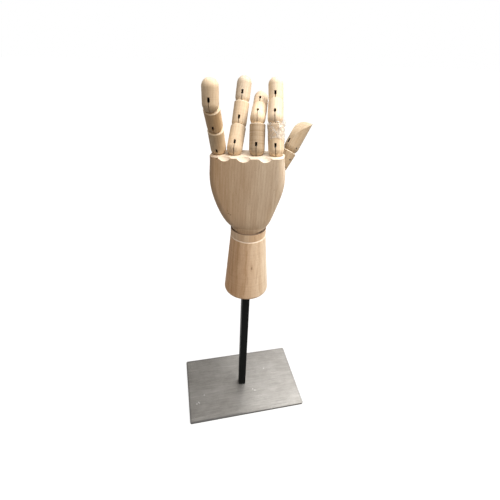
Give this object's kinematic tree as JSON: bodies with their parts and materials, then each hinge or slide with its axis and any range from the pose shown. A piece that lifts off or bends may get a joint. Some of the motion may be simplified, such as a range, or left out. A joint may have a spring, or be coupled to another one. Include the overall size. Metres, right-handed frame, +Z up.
{
  "type": "articulated wooden hand mannequin",
  "caption": "Jointed wooden artist's hand with pinned ball knuckles and a tilting, turning wrist, held up on a black square rod over a flat brushed steel plate.",
  "frame": {"origin": "middle of the plate's underside, on the surface that it stands on", "axes": "+Z up along the rod, +X along the plate's long side, +Y away from the viewer"},
  "size_m": [0.175, 0.11, 0.4528],
  "materials": {
    "finger_wood": "bare, fine sanded",
    "palm_wood": "bare, fine sanded",
    "forearm_wood": "bare, turned",
    "plate_steel": "brushed along the length",
    "black_rod": "satin black",
    "pin_steel": "plain steel",
    "fastener_steel": "zinc plated",
    "clear_film": "clear, crumpled"
  },
  "bodies": {
    "stand": {"base_plate": "plate_steel", "plate_screw": "fastener_steel", "stand_rod": "black_rod", "rod_stud": "fastener_steel", "forearm": "forearm_wood", "forearm_plug": "forearm_wood"},
    "wrist": {"wrist_disc": "forearm_wood", "wrist_eyebolt": "fastener_steel", "wrist_washer": "fastener_steel", "wrist_spring_washers": "fastener_steel", "wrist_nut": "fastener_steel"},
    "palm_body": {"palm": "palm_wood", "palm_pins": "pin_steel", "wrist_pin": "pin_steel"},
    "little_base": {"little_palm_link": "pin_steel"},
    "little_lower": {"little_finger_lower": "finger_wood", "little_lower_pins": "pin_steel", "little_lower_link": "pin_steel"},
    "little_middle": {"little_finger_middle": "finger_wood", "little_middle_pins": "pin_steel", "little_middle_link": "pin_steel"},
    "little_tip": {"little_finger_tip": "finger_wood", "little_tip_pin": "pin_steel"},
    "ring_base": {"ring_palm_link": "pin_steel"},
    "ring_lower": {"ring_finger_lower": "finger_wood", "ring_lower_pins": "pin_steel", "ring_lower_link": "pin_steel"},
    "ring_middle": {"ring_finger_middle": "finger_wood", "ring_middle_pins": "pin_steel", "ring_middle_link": "pin_steel"},
    "ring_tip": {"ring_finger_tip": "finger_wood", "ring_tip_pin": "pin_steel"},
    "middle_base": {"middle_palm_link": "pin_steel"},
    "middle_lower": {"middle_finger_lower": "finger_wood", "middle_lower_pins": "pin_steel", "middle_lower_link": "pin_steel"},
    "middle_middle": {"middle_finger_middle": "finger_wood", "middle_middle_pins": "pin_steel", "middle_middle_link": "pin_steel"},
    "middle_tip": {"middle_finger_tip": "finger_wood", "middle_tip_pin": "pin_steel"},
    "index_base": {"index_palm_link": "pin_steel"},
    "index_lower": {"index_finger_lower": "finger_wood", "index_lower_pins": "pin_steel", "index_lower_link": "pin_steel", "index_film": "clear_film"},
    "index_middle": {"index_finger_middle": "finger_wood", "index_middle_pins": "pin_steel", "index_middle_link": "pin_steel"},
    "index_tip": {"index_finger_tip": "finger_wood", "index_tip_pin": "pin_steel"},
    "thumb_link_body": {"thumb_palm_link": "pin_steel"},
    "thumb_base_body": {"thumb_base": "finger_wood", "thumb_base_pins": "pin_steel", "thumb_base_link": "pin_steel"},
    "thumb_tip_body": {"thumb_tip": "finger_wood", "thumb_tip_pin": "pin_steel"}
  },
  "joints": [
    {"name": "wrist_turn", "type": "hinge", "parent": "stand", "child": "wrist", "pos_m": [0, 0, 0.288], "axis": [0, 0, 1], "range_deg": [-75, 75]},
    {"name": "wrist_tilt", "type": "hinge", "parent": "wrist", "child": "palm_body", "pos_m": [0, 0, 0.31448], "axis": [0.9455, -0.3256, 0], "range_deg": [-30, 30]},
    {"name": "little_lean", "type": "hinge", "parent": "palm_body", "child": "little_base", "pos_m": [-0.03228, 0.01111, 0.37296], "axis": [0.3256, 0.9455, 0], "range_deg": [-4, 1]},
    {"name": "little_knuckle_bend", "type": "hinge", "parent": "little_base", "child": "little_lower", "pos_m": [-0.03241, 0.01116, 0.38546], "axis": [-0.9455, 0.3255, -0.0113], "range_deg": [-21.7, 78.3]},
    {"name": "little_middle_bend", "type": "hinge", "parent": "little_lower", "child": "little_middle", "pos_m": [-0.0372, -0.00183, 0.41117], "axis": [-0.9455, 0.3255, -0.0113], "range_deg": [-43.1, 56.9]},
    {"name": "little_tip_bend", "type": "hinge", "parent": "little_middle", "child": "little_tip", "pos_m": [-0.04225, -0.01576, 0.43217], "axis": [-0.9455, 0.3255, -0.0113], "range_deg": [-87.7, 12.3]},
    {"name": "ring_lean", "type": "hinge", "parent": "palm_body", "child": "ring_base", "pos_m": [-0.01707, 0.00588, 0.37371], "axis": [0.3256, 0.9455, 0], "range_deg": [-3.4, 0.4]},
    {"name": "ring_knuckle_bend", "type": "hinge", "parent": "ring_base", "child": "ring_lower", "pos_m": [-0.01647, 0.00567, 0.38619], "axis": [-0.9443, 0.3251, 0.0515], "range_deg": [-94.8, 5.2]},
    {"name": "ring_middle_bend", "type": "hinge", "parent": "ring_lower", "child": "ring_middle", "pos_m": [-0.00876, 0.02478, 0.40688], "axis": [-0.9443, 0.3251, 0.0515], "range_deg": [-35.6, 64.4]},
    {"name": "ring_tip_bend", "type": "hinge", "parent": "ring_middle", "child": "ring_tip", "pos_m": [-0.00345, 0.0367, 0.42902], "axis": [-0.9443, 0.3251, 0.0515], "range_deg": [-44.2, 55.8]},
    {"name": "middle_lean", "type": "hinge", "parent": "palm_body", "child": "middle_base", "pos_m": [0.00559, -0.00193, 0.37482], "axis": [0.3256, 0.9455, 0], "range_deg": [-0.3, 1.9]},
    {"name": "middle_knuckle_bend", "type": "hinge", "parent": "middle_base", "child": "middle_lower", "pos_m": [0.00486, -0.00167, 0.38729], "axis": [-0.9437, 0.3249, -0.0619], "range_deg": [-74.1, 25.9]},
    {"name": "middle_middle_bend", "type": "hinge", "parent": "middle_lower", "child": "middle_middle", "pos_m": [0.00718, 0.01014, 0.4139], "axis": [-0.9437, 0.3249, -0.0619], "range_deg": [-98.8, 1.2]},
    {"name": "middle_tip_bend", "type": "hinge", "parent": "middle_middle", "child": "middle_tip", "pos_m": [0.01474, 0.03352, 0.42144], "axis": [-0.9437, 0.3249, -0.0619], "range_deg": [-44.5, 55.5]},
    {"name": "index_lean", "type": "hinge", "parent": "palm_body", "child": "index_base", "pos_m": [0.02467, -0.0085, 0.37575], "axis": [0.3256, 0.9455, 0], "range_deg": [-0.4, 6.1]},
    {"name": "index_knuckle_bend", "type": "hinge", "parent": "index_base", "child": "index_lower", "pos_m": [0.02318, -0.00798, 0.38815], "axis": [-0.938, 0.323, -0.1262], "range_deg": [-70.3, 29.7]},
    {"name": "index_middle_bend", "type": "hinge", "parent": "index_lower", "child": "index_middle", "pos_m": [0.02321, 0.00272, 0.41532], "axis": [-0.938, 0.323, -0.1262], "range_deg": [-84.1, 15.9]},
    {"name": "index_tip_bend", "type": "hinge", "parent": "index_middle", "child": "index_tip", "pos_m": [0.02823, 0.0231, 0.43016], "axis": [-0.938, 0.323, -0.1262], "range_deg": [-22.7, 77.3]},
    {"name": "thumb_swing", "type": "hinge", "parent": "palm_body", "child": "thumb_link_body", "pos_m": [0.02757, -0.00016, 0.35733], "axis": [-0.7985, -0.2969, 0.5237], "range_deg": [-10, 10]},
    {"name": "thumb_knuckle_bend", "type": "hinge", "parent": "thumb_link_body", "child": "thumb_base_body", "pos_m": [0.0337, 0.00215, 0.36798], "axis": [-0.3494, 0.937, -0.0015], "range_deg": [-15, 30]},
    {"name": "thumb_tip_bend", "type": "hinge", "parent": "thumb_base_body", "child": "thumb_tip_body", "pos_m": [0.04448, 0.0062, 0.38672], "axis": [-0.3494, 0.937, -0.0015], "range_deg": [-50, 50]}
  ]
}
